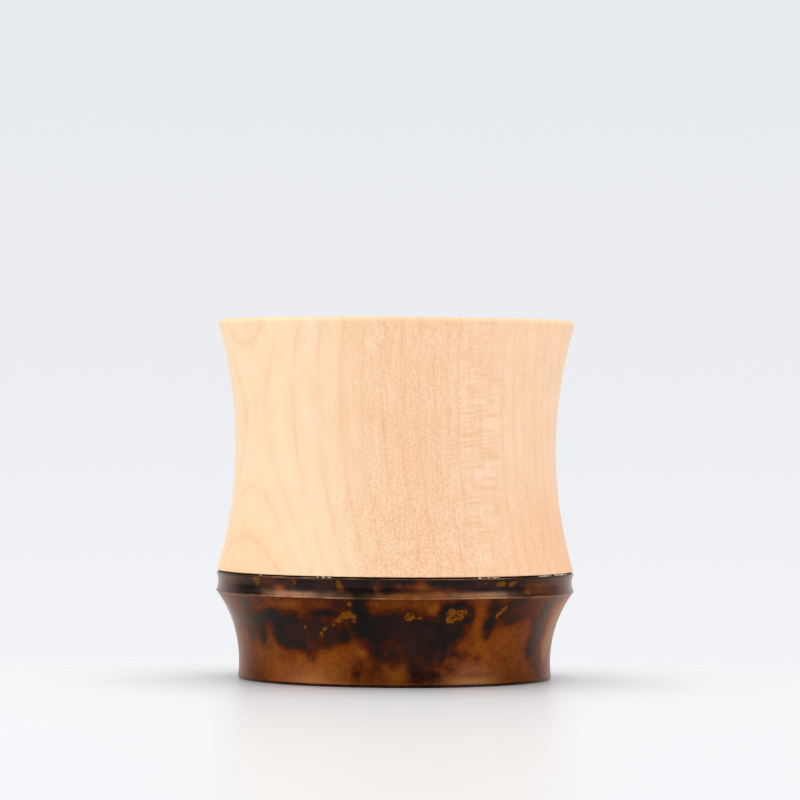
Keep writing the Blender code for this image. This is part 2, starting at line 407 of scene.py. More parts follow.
def maple():
    """Maple, lathe-turned and sanded fine, under a thin satin coat.

    The eye sees faint reddish growth-ring lines, paler outer wood, fine pores, and on the quarter-sawn side
    a ladder of ray flecks. Low on the heart side the wood is tinted darker and warmer, as painted shade
    with a warmer tone. The pattern is solid, so rim, bowl and side belong to one block.
    """
    material, node, place = new_finish("turned_maple")
    from_rim = node(VECTOR, [place, (0, 0, RIM_HEIGHT)], operation="SUBTRACT")
    block_axes = [
        node(VECTOR, [from_rim, axis * PER_MM], operation="DOT_PRODUCT")
        for axis in (RING_NORMAL, RAY_NORMAL, GRAIN)
    ]
    block = node("ShaderNodeCombineXYZ", block_axes)
    noise = {}
    for name, (sizes, detail, *limits, curve) in WOOD_NOISES.items():
        fitted = node(VECTOR, [block, [1 / size for size in sizes]], operation="MULTIPLY")
        raw = node(NOISE, {"Vector": fitted, "Scale": 1.0, "Detail": detail})
        noise[name] = node(RANGE, [raw, *limits], **curve)

    depth = block_axes[0]
    for wander in (noise["slow_wander"], noise["quick_wander"]):
        depth = node(MATH, [depth, wander], operation="ADD")
    from_heart = node(RANGE, [depth, *RING_SPAN_MM])
    line, late_wood = growth_rings(node, from_heart)
    line = node(MATH, [line, noise["fading"]], operation="MULTIPLY")
    ladder, end_grain = sawn_faces(node)
    height = node("ShaderNodeSeparateXYZ", [place]).outputs["Z"]
    low = node(RANGE, [height, *LOW_WOOD_HEIGHTS], **EASED)
    # Painted shade: the low wood on the heart side, the cup's lower right, is tinted darker, with a warmer
    # tone
    heart_side = node(RANGE, [depth, *LOW_SHADE_DEPTHS], **EASED)
    warm_and_shaded = node(MATH, [low, heart_side], operation="MULTIPLY")

    texture_depth = node(MATH, [low, -LOW_TEXTURE_MM, depth], operation="MULTIPLY_ADD")
    outer = node(RANGE, [texture_depth, *OUTER_TEXTURE], **EASED)
    heart = node(RANGE, [depth, *HEART_TEXTURE], **EASED)
    texture = node(MATH, [outer, heart], operation="MULTIPLY")
    fibre = node(MATH, [noise["fibre"], texture], operation="MULTIPLY")
    ray = node(MATH, [noise["ray"], ladder], operation="MULTIPLY")
    among_rays = node(RANGE, [ladder, 0.0, 1.0, 1.0, PORES_AMONG_RAYS])
    low_pores = node(RANGE, [low, 0.0, 1.0, 1.0, LOW_PORES])
    pore = noise["pore"]
    for share in (texture, among_rays, low_pores):
        pore = node(MATH, [pore, share], operation="MULTIPLY")

    colour = node("ShaderNodeValToRGB", [from_heart], stops=between(*RING_SPAN_MM, WOOD_TONES))
    for amount, tint in (
        (late_wood, "#fffbf8"),
        (line, "#fdf5ee"),
        (noise["cloud"], "#fdf9f5"),
        (low, "#fffdfc"),
        # painted shade with a warmer tone, low on the heart side
        (warm_and_shaded, "#fdf3ec"),
        (end_grain, "#f4e8d2"),
    ):
        layers = {SHARE: amount, UNDER: colour, OVER: tint}
        colour = node(MIX, layers, data_type="RGBA", blend_type="MULTIPLY")
    for amount, swing in ((fibre, FIBRE_SWING), (pore, PORE_SWING), (ray, RAY_SWING)):
        gain = node(VECTOR, [amount, swing, (1, 1, 1)], operation="MULTIPLY_ADD")
        colour = node(VECTOR, [colour, gain], operation="MULTIPLY")

    shader = node(
        "ShaderNodeBsdfPrincipled",
        {
            "Base Color": colour,
            "Roughness": node(RANGE, [fibre, -1.0, 1.0, 0.46, 0.58]),
            "Normal": node("ShaderNodeBump", {"Height": pore, "Strength": 0.1, "Distance": 0.02 * MM}),
            "IOR": 1.48,
            "Specular IOR Level": 0.35,
        },
    )
    node("ShaderNodeOutputMaterial", {"Surface": shader})
    return material


# The patina as marked on a front view of the base, from left to right: each mark is its place across and up
# from the middle of the foot, its half width and half height, all in mm, its lean in degrees, and how much
# it darkens, or clears if minus
FOOT_CLOUDS = (
    (-23.1, 9.0, 0.9, 1.8, 0, 0.4), (-22.4, 12.1, 0.6, 1.1, 20, 0.5),
    (-22.2, 4.4, 1.8, 3.6, 0, 0.14), (-21.7, 9.8, 0.8, 1.2, 0, 0.65),
    (-21.5, 7.6, 0.6, 1.4, 0, 0.6), (-21.0, 12.2, 1.6, 0.9, 0, 0.28),
    (-20.2, 9.8, 0.9, 0.9, 0, 0.7), (-20.0, 7.9, 0.6, 1.6, 0, 0.9),
    (-18.8, 10.7, 1.1, 0.7, 20, 0.8), (-17.6, 9.8, 1.3, 0.9, -20, 0.9),
    (-16.9, 7.4, 0.9, 1.6, 20, 1.0), (-16.0, 9.6, 1.5, 0.8, -10, 0.9),
    (-15.4, 6.2, 1.8, 0.7, -10, 1.0), (-15.2, 10.6, 0.7, 0.7, 0, 0.6),
    (-14.9, 8.0, 1.6, 1.5, 0, 0.4), (-13.6, 7.5, 1.2, 1.6, 0, 1.0),
    (-12.3, 4.9, 0.8, 1.3, 0, 0.45), (-11.3, 10.9, 1.0, 0.5, 0, 0.8),
    (-10.9, 6.3, 1.2, 0.9, 0, 0.5), (-10.8, 7.9, 2.4, 2.1, 0, 1.0),
    (-9.5, 11.1, 1.2, 0.5, 0, 0.8), (-8.3, 12.2, 1.0, 0.7, 0, 0.4),
    (-7.4, 7.6, 1.1, 0.9, 0, 0.8), (-5.6, 2.0, 0.9, 2.0, 0, 0.38),
    (-5.2, 12.4, 1.0, 1.3, 0, 0.9), (-5.0, 10.6, 1.7, 1.4, 0, 0.8),
    (-4.6, 8.6, 2.4, 1.3, 0, 0.7), (-2.6, 6.1, 1.5, 1.8, 15, 1.0),
    (-2.4, 2.6, 1.2, 1.2, 0, 0.22), (-1.4, 9.4, 2.6, 1.6, 0, 0.7),
    (-0.2, 4.4, 1.0, 1.5, 0, 0.85), (1.2, 8.0, 2.8, 2.2, 0, 0.7),
    (1.5, 5.6, 1.8, 1.4, 0, 0.55), (3.9, 3.2, 1.8, 2.2, 8, 0.7),
    (4.6, 9.0, 2.4, 1.6, 0, 0.7), (4.7, 6.4, 2.2, 2.1, 0, 1.0),
    (5.8, 1.6, 2.2, 1.4, 0, 0.4), (6.8, 4.2, 0.5, 0.7, 0, 0.5),
    (6.9, 7.4, 1.7, 2.2, 0, 0.9), (7.3, 5.4, 0.8, 0.8, 0, 0.5),
    (7.6, 11.2, 1.0, 1.4, 0, 0.8), (8.2, 3.0, 1.8, 1.0, 0, 0.22),
    (8.7, 8.2, 1.4, 1.4, 0, 0.9), (9.3, 4.9, 1.5, 0.8, 0, 0.35),
    (9.8, 12.2, 0.9, 0.9, 0, 0.8), (11.0, 10.6, 0.8, 1.4, 0, 0.8),
    (12.5, 4.3, 0.7, 0.6, 20, 0.30), (13.7, 7.6, 0.5, 0.6, 0, 0.5),
    (14.1, 9.2, 0.7, 1.5, -12, 0.9), (14.8, 12.0, 0.8, 0.9, 0, 0.7),
    (16.4, 10.8, 1.9, 1.5, 0, 0.40), (18.0, 12.2, 1.6, 0.9, 15, 0.40),
    (18.2, 10.3, 1.9, 0.9, 15, 0.40), (19.3, 6.6, 1.6, 2.4, 0, 0.06),
    (20.8, 5.2, 0.9, 1.5, 0, 1.0), (21.6, 3.5, 0.8, 0.8, 25, 0.6),
    (21.6, 7.4, 1.1, 1.5, -10, 0.75), (21.9, 9.4, 0.95, 1.2, -20, 0.6),
    (22.1, 2.2, 1.0, 1.5, 0, 0.35), (22.9, 11.2, 0.8, 1.0, -25, 0.6),
    (24.3, 12.5, 0.9, 0.6, 0, 0.5),
)
FOOT_CLEARINGS = (
    (-17.5, 12.0, 4.6, 0.7, 4, -0.25), (-12.5, 2.2, 4.5, 1.6, 0, -0.14),
    (-9.7, 4.6, 1.6, 1.2, 0, -0.12), (-6.6, 5.4, 2.6, 1.2, -12, -0.05),
    (-4.7, 5.0, 0.8, 0.7, 0, -0.4), (0.3, 1.7, 1.7, 1.3, 0, -0.3),
    (1.6, 12.4, 5.0, 0.6, 0, -0.15), (6.0, 11.6, 0.9, 1.0, 0, -0.4),
    (12.6, 10.8, 0.8, 2.6, 0, -0.2), (16.9, 6.6, 2.7, 2.6, 0, -0.05),
    (17.8, 2.6, 1.6, 1.6, 0, -0.06),
)
# A pale streak just inside the foot's right edge, following its outline: painted reflection of the pale
# backdrop at the grazing edge
PAINTED_EDGE_REFLECTION = (
    (22.6, 3.9, 0.3, 0.6, 0, -0.8),
    (22.9, 5.6, 0.4, 1.3, -8, -1.3),
    (23.8, 7.8, 0.5, 1.5, -8, -1.4),
    (24.9, 9.9, 0.6, 1.5, -8, -1.4),
    (26.0, 11.7, 0.7, 1.0, 0, -1.2),
)
COVE_CLOUDS = (
    (-22.4, 14.95, 1.6, 1.0, -25, 1.2), (-13.2, 15.25, 1.2, 0.9, 0, 1.2),
    (-9.6, 14.95, 1.4, 0.8, 0, 0.2), (-5.2, 15.25, 1.9, 1.1, 0, 1.2),
    (-4.3, 13.95, 0.9, 0.7, 0, 1.2), (-1.1, 14.8, 0.6, 0.7, 0, 1.1),
    (1.0, 16.1, 2.4, 0.3, 0, 0.6), (8.9, 15.85, 3.5, 0.6, 0, 1.1),
    (12.6, 15.15, 1.6, 0.8, 0, 0.9), (17.6, 15.25, 1.6, 1.0, -15, 0.9),
)
COVE_CLEARINGS = (
    (-25.4, 14.8, 1.2, 0.9, 0, -0.4), (-24.4, 15.7, 1.8, 0.5, 0, -0.3),
    (-17.2, 14.65, 0.8, 0.6, 0, -0.6), (-2.9, 14.9, 0.7, 0.8, 0, -0.5),
    (1.8, 13.8, 4.0, 0.45, 0, -0.6), (4.0, 15.1, 1.7, 1.2, 0, -0.75),
    (6.6, 14.1, 1.2, 0.6, 0, -0.5), (18.8, 13.9, 1.4, 0.5, 0, -0.2),
    (19.9, 14.15, 0.5, 0.4, 0, -0.7), (21.5, 14.8, 2.6, 1.0, 0, -0.45),
    (22.2, 14.1, 1.8, 0.6, 0, -0.2),
)
# The clouds include the painted reflection by the foot's right edge
FRONT_CLOUDS = FOOT_CLOUDS + FOOT_CLEARINGS + PAINTED_EDGE_REFLECTION + COVE_CLOUDS + COVE_CLEARINGS
# Red-brown places inside the darkest clouds, marked the same way
FRONT_REDS = (
    (-23.8, 15.7, 1.8, 0.7, 0, 0.9), (-20.0, 15.55, 2.2, 0.6, 0, 0.7),
    (-14.9, 8.1, 1.4, 1.4, 0, 1.0), (-11.2, 8.2, 2.4, 1.9, 0, 0.9),
    (-9.8, 15.25, 1.8, 0.8, 0, 0.9), (-2.9, 14.9, 0.8, 0.7, 0, 1.0),
    (-1.2, 4.6, 1.0, 1.0, 0, 0.3), (0.6, 9.6, 2.6, 0.9, 0, 0.5),
    (2.0, 6.0, 1.9, 1.9, 0, 0.9), (3.8, 8.6, 1.8, 0.8, 0, 0.5),
    (12.8, 15.6, 1.6, 0.6, 0, 0.8), (17.4, 12.2, 0.8, 0.5, 20, 0.9),
    (17.8, 11.0, 2.0, 1.4, 0, 0.9), (18.8, 14.0, 1.4, 0.6, 0, 0.9),
    (20.2, 15.35, 2.4, 0.9, 0, 0.9), (21.5, 8.0, 0.9, 2.4, -12, 0.9),
)
# Places where the clear coat lies thicker and shines, marked the same way. Low on the foot the same marks
# also lighten the colour, as painted highlight
FRONT_COATS = (
    (-12.4, 1.4, 3.8, 1.6, 0, 0.5),
    (9.8, 14.0, 2.0, 0.8, 0, 0.4),
    (11.4, 1.2, 3.0, 1.8, 0, 1.3),
)
# Places where the patina has flaked off the brass, marked the same way, without the last number
FRONT_FLAKES = (
    (-20.7, 15.5, 0.50, 0.75, 10), (-14.9, 15.55, 0.18, 0.45, 0),
    (-13.3, 8.7, 0.18, 0.22, 0), (-10.8, 7.8, 0.26, 0.38, 0),
    (-10.5, 8.7, 0.36, 0.26, 20), (-8.9, 9.4, 0.28, 0.22, 45),
    (-8.2, 15.3, 0.45, 1.05, 22), (-8.0, 10.2, 1.05, 0.40, 28),
    (-6.9, 10.8, 0.95, 0.62, 12), (-6.8, 12.7, 0.30, 0.46, 10),
    (-6.1, 10.5, 0.45, 0.75, 0), (2.0, 11.1, 0.28, 0.24, 0),
    (2.3, 10.6, 0.70, 0.52, 0), (3.3, 10.5, 0.50, 0.16, 0),
    (8.2, 10.2, 0.70, 0.66, 0), (8.6, 11.2, 0.80, 0.62, 0),
    (9.6, 10.3, 0.60, 0.30, 0), (9.9, 11.1, 0.85, 0.50, 10),
    (13.6, 15.7, 0.40, 0.18, 15), (15.4, 10.8, 0.40, 0.26, 30),
    (15.9, 15.5, 0.85, 0.50, 0), (16.0, 11.3, 0.90, 0.36, 48),
    (17.5, 15.4, 0.60, 0.50, 20),
)
# Darkness where there is no mark, on the foot and by height in mm in the cove, and how red the cove is
FOOT_LEVEL = 0.24
COVE_LEVELS = ((14.2, 0.50), (15.6, 0.60))
COVE_RED = 0.2
# How fast a mark fades from its middle, how fast marks that overlap fill up, and the most they can change
MARK_FADING = 1.1
MARK_FILLING = 1.35
MARK_LIMIT = 0.73
# What counts as far outside every flake
NO_FLAKE_MM = -9.0
# Marks on the back: degrees round from the front, how many, mm up, and half widths, half heights and leans
BACK_SEED = 11
BACK_DEGREES = (78, 282)
BACK_CLOUDS = 46
BACK_CLOUD_HEIGHTS = (0.5, 16.0)
BACK_CLOUD_SIZES = ((1.0, 3.4), (0.9, 2.4), (-25, 25))
BACK_CLOUD_STRENGTHS = (0.9, 0.8, 1.0, -0.6, -0.5)
BACK_FLAKES = 14
BACK_FLAKE_HEIGHTS = (6.0, 15.5)
BACK_FLAKE_SIZES = ((0.25, 1.1), (0.25, 0.8), (-40, 40))


def back_marks():
    """Clouds and flakes of about the front's sizes, strewn over the side that faces away."""
    draw = random.Random(BACK_SEED)
    clouds, flakes = [], []
    for _ in range(BACK_CLOUDS):
        angle = math.radians(draw.uniform(*BACK_DEGREES))
        size = [draw.uniform(*limits) for limits in BACK_CLOUD_SIZES]
        strength = draw.choice(BACK_CLOUD_STRENGTHS)
        clouds.append((angle, draw.uniform(*BACK_CLOUD_HEIGHTS), *size, strength))
    for _ in range(BACK_FLAKES):
        angle = math.radians(draw.uniform(*BACK_DEGREES))
        size = [draw.uniform(*limits) for limits in BACK_FLAKE_SIZES]
        flakes.append((angle, draw.uniform(*BACK_FLAKE_HEIGHTS), *size))
    return clouds, flakes


def paint_patina(piece, outline):
    """Stores the patina on the base's points, as four attributes.

    dark_cloud is how dark it is, with the painted reflection near the right edge among its marks, red_brown
    how red, thick_coat_and_sheen how thick the clear coat is and where low on the foot a lighter colour is
    painted as highlight, and bare_brass how many mm a point lies inside a flake, or outside if minus.
    """
    count = len(piece.data.vertices)
    points = np.empty(count * 3, np.float32)
    piece.data.vertices.foreach_get("co", points)
    x, y, z = points.reshape(-1, 3).T * PER_MM
    turn = np.arctan2(x, -y)
    outside = [p for p in outline if p[0] > FOOT_WAIST_RADIUS - FOOT_EDGE_ROUND]
    radii, heights = np.array(outside[::-1]).T * PER_MM

    def on_base(mark):
        """A mark of the front view, wrapped round the base: its place across becomes an angle."""
        across, up, half_width, *rest = mark
        angle = math.asin(across / np.interp(up, heights, radii))
        return (angle, up, half_width / math.cos(angle), *rest)

    def from_middle(angle, up, half_width, half_height, lean):
        """How far each point lies from a mark's middle: 1 is on the edge of its ellipse."""
        arm = (turn - angle + math.pi) % (2 * math.pi) - math.pi
        along = arm * np.interp(up, heights, radii)
        c, s = math.cos(math.radians(lean)), math.sin(math.radians(lean))
        u = (along * c + (z - up) * s) / half_width
        v = (-along * s + (z - up) * c) / half_height
        return np.sqrt(u * u + v * v)

    def summed(marks, level):
        """That level, changed by all marks together."""
        total = np.zeros(count)
        for *mark, strength in marks:
            total += strength * np.exp(-from_middle(*mark) ** 2 * MARK_FADING)
        return level + MARK_LIMIT * np.tanh(total * MARK_FILLING)

    clouds, flakes = back_marks()
    in_cove = z > LOWER_RIDGE_HEIGHT * PER_MM
    unmarked = np.where(in_cove, np.interp(z, *zip(*COVE_LEVELS)), FOOT_LEVEL)
    bare = np.full(count, NO_FLAKE_MM)
    for flake in [*map(on_base, FRONT_FLAKES), *flakes]:
        bare = np.maximum(bare, (1 - from_middle(*flake)) * min(flake[2:4]))
    for name, values in (
        ("dark_cloud", summed([*map(on_base, FRONT_CLOUDS), *clouds], unmarked)),
        ("red_brown", summed(map(on_base, FRONT_REDS), np.where(in_cove, COVE_RED, 0.0))),
        ("bare_brass", bare),
        ("thick_coat_and_sheen", summed(map(on_base, FRONT_COATS), 0.0)),
    ):
        attribute = piece.data.attributes.new(name, "FLOAT", "POINT")
        attribute.data.foreach_set("value", values.astype(np.float32))


# How far the edge of a flake is ragged, and from where to where across it the patina ends
FLAKE_EDGE_MM = 0.24
FLAKE_RIM_MM = (-0.03, 0.05)
# Noises in the patina: mm, how much finer detail and how rough, and which two values give which other two
PATINA_NOISES = {
    "drift": (5.5, 2.0, 0.5, 0.25, 0.75, -0.16, 0.16, EVEN),
    "mottle": (1.7, 5.0, 0.65, 0.25, 0.75, -1.0, 1.0, EVEN),
    "curdle": (0.45, 3.0, 0.5, 0.25, 0.75, -0.08, 0.08, EVEN),
    "red_places": (2.6, 2.0, 0.5, 0.50, 0.68, 0.0, 0.5, EASED),
    "red_grit": (0.7, 4.0, 0.6, 0.3, 0.7, 0.3, 0.9, EVEN),
    "speck": (0.28, 1.0, 0.5, 0.61, 0.68, 0.0, 0.6, EASED),
    "speck_places": (4.0, 1.0, 0.5, 0.42, 0.60, 0.0, 1.0, EVEN),
    "rubbing": (3.0, 2.0, 0.5, 0.36, 0.62, 0.2, 0.9, EVEN),
    "flake_edge": (0.70, 3.0, 0.55, 0.25, 0.75, -FLAKE_EDGE_MM, FLAKE_EDGE_MM, EVEN),
    "pits": (0.50, 2.0, 0.5, 0.34, 0.46, 0.0, 1.0, EASED),
}
# Colour of the patina by its darkness, from a pale tone, used for the painted edge reflection, through
# amber and red-brown to black
PATINA_TONES = (
    (-0.45, "#80633c"),
    (-0.20, "#9c5a18"),
    (0.00, "#915016"),
    (0.17, "#834414"),
    (0.32, "#703612"),
    (0.48, "#582811"),
    (0.64, "#421f13"),
    (0.84, "#261b18"),
    (1.10, "#161616"),
)
SEAM_MM = SEAM_HEIGHT * PER_MM
SEAM_SHADE_MM = SEAM_MM + FIT_GAP * PER_MM / 4
RIDGE_MM = LOWER_RIDGE_HEIGHT * PER_MM
RECESS_MM = RECESS_DEPTH * PER_MM
# What changes with height: from one mm to another, the values there, and how it goes between them. The foot
# is darker at its edge and under the ridge, as painted shade, and lighter low down, as painted highlight.
# The cove is waxed, most at its bottom. High in the seam the base is painted near-black, as the seam's
# shadow.
BASE_BY_HEIGHT = {
    # Painted shade: darker at the foot's bottom edge, where it meets the table
    "foot_edge_shade": (0.30, 0.52, 0.40, 0.0, EASED),
    "above_edge": (0.35, 0.65, 0.0, 1.0, EVEN),
    # Painted highlight: a lighter colour low on the foot, where the coat is marked thicker
    "painted_sheen_height": (0.8, 1.8, 0.75, 0.0, EASED),
    "recess": (RECESS_MM - 0.6, RECESS_MM - 0.1, 0.0, 1.0, EASED),
    # Painted shade: darker from 6 mm up, under the ridge
    "under_ridge_shade": (6.0, 10.5, 0.0, 0.14, EASED),
    "cove": (RIDGE_MM - 0.1, RIDGE_MM + 0.1, 0.0, 1.0, EVEN),
    "flake_shine": (RIDGE_MM - 0.1, RIDGE_MM + 0.1, 1.0, 0.6, EVEN),
    "wax": (RIDGE_MM + 1.0, RIDGE_MM + 2.2, 0.32, 0.17, EASED),
    # Painted shadow: near-black above this height, on the seat inside the seam
    "seam": (SEAM_SHADE_MM, SEAM_SHADE_MM + 0.02, 0.0, 1.0, EVEN),
}
# What changes evenly with the patina's darkness, from one level to another
BASE_BY_DARKNESS = {
    "red_shown": (0.35, 0.60, 0.0, 1.0),
    "metal": (0.30, 0.62, 0.8, 1.0),
    "roughness": (0.2, 0.8, 0.31, 0.22),
    "coat": (0.50, 1.10, 0.0, 0.16),
    "wax_left": (0.60, 1.0, 1.0, 0.45),
}
# How strong the mottling is by a cloud's darkness, how metallic worn places are, and the coat on flakes
MOTTLING = (0.30, 0.60, 0.10, 0.36)
WORN_METAL = 0.85
FLAKE_COAT = 0.5
# Edges worn to bare metal, and a wide faint band in the lower cove, all partly painted highlight: height
# and reach in mm, and how much; less so away from the front, which is painted highlight
EDGE_WEAR_AND_HIGHLIGHT_MM = (
    (SEAM_MM, 0.12, 1.0),
    (RIDGE_MM, 0.17, 1.0),
    (RIDGE_MM + 0.55, 0.75, 0.2),
    (0.62, 0.10, 0.4),
)
HIGHLIGHT_TOWARDS_FRONT = (-0.022, -0.014, 1.0, 0.4)
# Tool marks in the recess: real ones, about 0.1 mm apart, would not show, so they are drawn this coarse
TOOL_MARK_MM = 0.35


def edge_wear_and_highlight(node, height_mm, y, rubbing):
    """How far the brass is worn bare at a point, along the ridges and low on the foot, partly as painted
    highlight.
    """
    wear_and_highlight = 0.0
    for edge_mm, reach_mm, share in EDGE_WEAR_AND_HIGHLIGHT_MM:
        above = node(MATH, [height_mm, edge_mm], operation="SUBTRACT")
        off = node(MATH, [above], operation="ABSOLUTE")
        band = node(RANGE, [off, 0.0, reach_mm, share, 0.0], **EASED)
        wear_and_highlight = node(MATH, [band, wear_and_highlight], operation="MAXIMUM")
    # Painted highlight: the edge bands are stronger on the side that faces the camera
    front = node(RANGE, [y, *HIGHLIGHT_TOWARDS_FRONT], **EASED)
    for share in (rubbing, front):
        wear_and_highlight = node(MATH, [wear_and_highlight, share], operation="MULTIPLY")
    return wear_and_highlight


def tool_marks(node, place, recessed):
    """Rings that the lathe tool left on the floor of the recess."""
    from_axis = node(VECTOR, [place, (1, 1, 0)], operation="MULTIPLY")
    radius = node(VECTOR, [from_axis], operation="LENGTH")
    turns = node(MATH, [radius, PER_MM / TOOL_MARK_MM], operation="MULTIPLY")
    marks = node(MATH, [turns, 1.0], operation="PINGPONG")
    edges = (FOOT_RING_INNER_RADIUS - RECESS_FILLET, FOOT_RING_INNER_RADIUS)
    for share in (recessed, node(RANGE, [radius, *edges, 1.0, 0.0])):
        marks = node(MATH, [marks, share], operation="MULTIPLY")
    return marks


def patinated_brass():
    """Brass, turned, then heat-coloured brown to black and sealed with a thin clear coat.

    The eye sees amber and red-brown clouds with near-black cores, dark specks in the amber, bare gold
    flakes, and worn brass along the ridges and low on the foot, partly as painted highlight. The darker it
    is, the glossier it looks. Painted light as well: shade at the foot's edge and under the ridge, a
    near-black shadow in the seam, a lighter highlight low on the foot and a pale reflection by its right
    edge.
    """
    material, node, place = new_finish("heat_patinated_brass")
    cloud, red, flake, thick_coat_and_sheen = (
        node("ShaderNodeAttribute", attribute_name=name).outputs["Fac"]
        for name in ("dark_cloud", "red_brown", "bare_brass", "thick_coat_and_sheen")
    )
    noise = {}
    for name, (size, detail, roughness, *limits, curve) in PATINA_NOISES.items():
        sockets = {"Vector": place, "Scale": PER_MM / size, "Detail": detail, "Roughness": roughness}
        noise[name] = node(RANGE, [node(NOISE, sockets), *limits], **curve)
    from_centre = node("ShaderNodeSeparateXYZ", [place]).outputs
    height_mm = node(MATH, [from_centre["Z"], PER_MM], operation="MULTIPLY")
    by_height = {
        name: node(RANGE, [height_mm, *limits], **curve)
        for name, (*limits, curve) in BASE_BY_HEIGHT.items()
    }
    # Near-black painted shadow inside the seam
    painted_seam_shadow = by_height["seam"]

    mottling = node(RANGE, [cloud, *MOTTLING], **EASED)
    mottle = node(MATH, [noise["mottle"], mottling], operation="MULTIPLY")
    darkness = cloud
    # The foot's bottom edge and the foot under the ridge are darkened here as painted shade
    for unevenness in (noise["drift"], mottle, noise["curdle"], by_height["foot_edge_shade"], by_height["under_ridge_shade"]):
        darkness = node(MATH, [darkness, unevenness], operation="ADD")
    by_darkness = {name: node(RANGE, [darkness, *limits]) for name, limits in BASE_BY_DARKNESS.items()}

    red = node(MATH, [red, noise["red_places"]], operation="MAXIMUM")
    for share in (by_darkness["red_shown"], noise["red_grit"]):
        red = node(MATH, [red, share], operation="MULTIPLY")
    speck = node(MATH, [noise["speck"], noise["speck_places"]], operation="MULTIPLY")
    # Painted highlight: a lighter colour low on the foot, where the coat is marked thicker
    painted_sheen = by_height["painted_sheen_height"]
    for share in (thick_coat_and_sheen, by_height["above_edge"]):
        painted_sheen = node(MATH, [painted_sheen, share], operation="MULTIPLY")
    # Worn bare edges, partly painted highlight
    wear_and_highlight = edge_wear_and_highlight(node, height_mm, from_centre["Y"], noise["rubbing"])
    bare = node(MATH, [flake, noise["flake_edge"]], operation="ADD")
    bare = node(RANGE, [bare, *FLAKE_RIM_MM], **EASED)
    shine = node(MATH, [noise["pits"], by_height["flake_shine"]], operation="MULTIPLY")
    gold = node(MIX, {SHARE: shine, UNDER: "#3c2209", OVER: "#804b11"}, data_type="RGBA")
    clearest, darkest = PATINA_TONES[0][0], PATINA_TONES[-1][0]
    stops = between(clearest, darkest, PATINA_TONES)
    colour = node("ShaderNodeValToRGB", [node(RANGE, [darkness, clearest, darkest])], stops=stops)
    for amount, tone in (
        (red, "#48261e"),
        (speck, "#34190d"),
        # painted highlight low on the foot
        (painted_sheen, "#a87333"),
        # worn bare brass, partly painted highlight
        (wear_and_highlight, "#b98a5e"),
        # near-black painted shadow in the seam
        (painted_seam_shadow, "#0c0807"),
        (bare, gold),
    ):
        colour = node(MIX, {SHARE: amount, UNDER: colour, OVER: tone}, data_type="RGBA")

    relief = node(MATH, [mottle, tool_marks(node, place, by_height["recess"])], operation="ADD")
    relief = node(MATH, [relief, bare], operation="SUBTRACT")
    metallic = by_darkness["metal"]
    for worn in (bare, wear_and_highlight):
        worn_metal = node(MATH, [worn, WORN_METAL], operation="MULTIPLY")
        metallic = node(MATH, [metallic, worn_metal], operation="MAXIMUM")
    wax = by_height["wax"]
    for share in (by_height["cove"], by_darkness["wax_left"]):
        wax = node(MATH, [wax, share], operation="MULTIPLY")
    coat = by_darkness["coat"]
    for layer in (wax, thick_coat_and_sheen):
        coat = node(MATH, [coat, layer], operation="MAXIMUM")
    coat = node(MATH, [coat, node(RANGE, [bare, 0.0, 1.0, 1.0, FLAKE_COAT])], operation="MULTIPLY")
    shader = node(
        "ShaderNodeBsdfPrincipled",
        {
            "Base Color": colour,
            # The painted seam shadow is matte: no metal and no coat
            "Metallic": node(MATH, [metallic, painted_seam_shadow], operation="SUBTRACT", use_clamp=True),
            "Roughness": node(MATH, [by_darkness["roughness"], painted_seam_shadow], operation="MAXIMUM"),
            "Normal": node("ShaderNodeBump", {"Height": relief, "Strength": 0.1, "Distance": 0.02 * MM}),
            "Specular IOR Level": 0.05,
            "Specular Tint": "#fff0e7",
            "Coat Weight": node(MATH, [coat, painted_seam_shadow], operation="SUBTRACT", use_clamp=True),
            "Coat Roughness": 0.17,
            "Coat IOR": 1.4,
        },
    )
    node("ShaderNodeOutputMaterial", {"Surface": shader})
    return material


# Size of the clouds in the cured glue
GLUE_CLOUD_MM = 0.8


def cured_epoxy():
    """Two-part epoxy, squeezed out and cured: cloudy, pale straw, glossy where it skinned over."""
    material, node, place = new_finish("cured_epoxy")
    cloudy = node(NOISE, {"Vector": place, "Scale": PER_MM / GLUE_CLOUD_MM, "Detail": 3.0})
    colour = node("ShaderNodeValToRGB", [cloudy], stops=((0.3, "#d8cdb4"), (0.7, "#f5f1e6")))
    roughness = node(RANGE, [cloudy, 0.0, 1.0, 0.22, 0.45])
    shader = node("ShaderNodeBsdfPrincipled", {"Base Color": colour, "Roughness": roughness, "IOR": 1.55})
    node("ShaderNodeOutputMaterial", {"Surface": shader})
    return material


def new_tree(name, inputs):
    """A Geometry Nodes tree with those named inputs, the means to add nodes, and what is given to it."""
    tree = bpy.data.node_groups.new(name, "GeometryNodeTree")
    for label, kind in inputs.items():
        tree.interface.new_socket(label, in_out="INPUT", socket_type="NodeSocket" + kind)
    tree.interface.new_socket("Geometry", in_out="OUTPUT", socket_type="NodeSocketGeometry")
    node = functools.partial(add, tree)
    return tree, node, node("NodeGroupInput").outputs


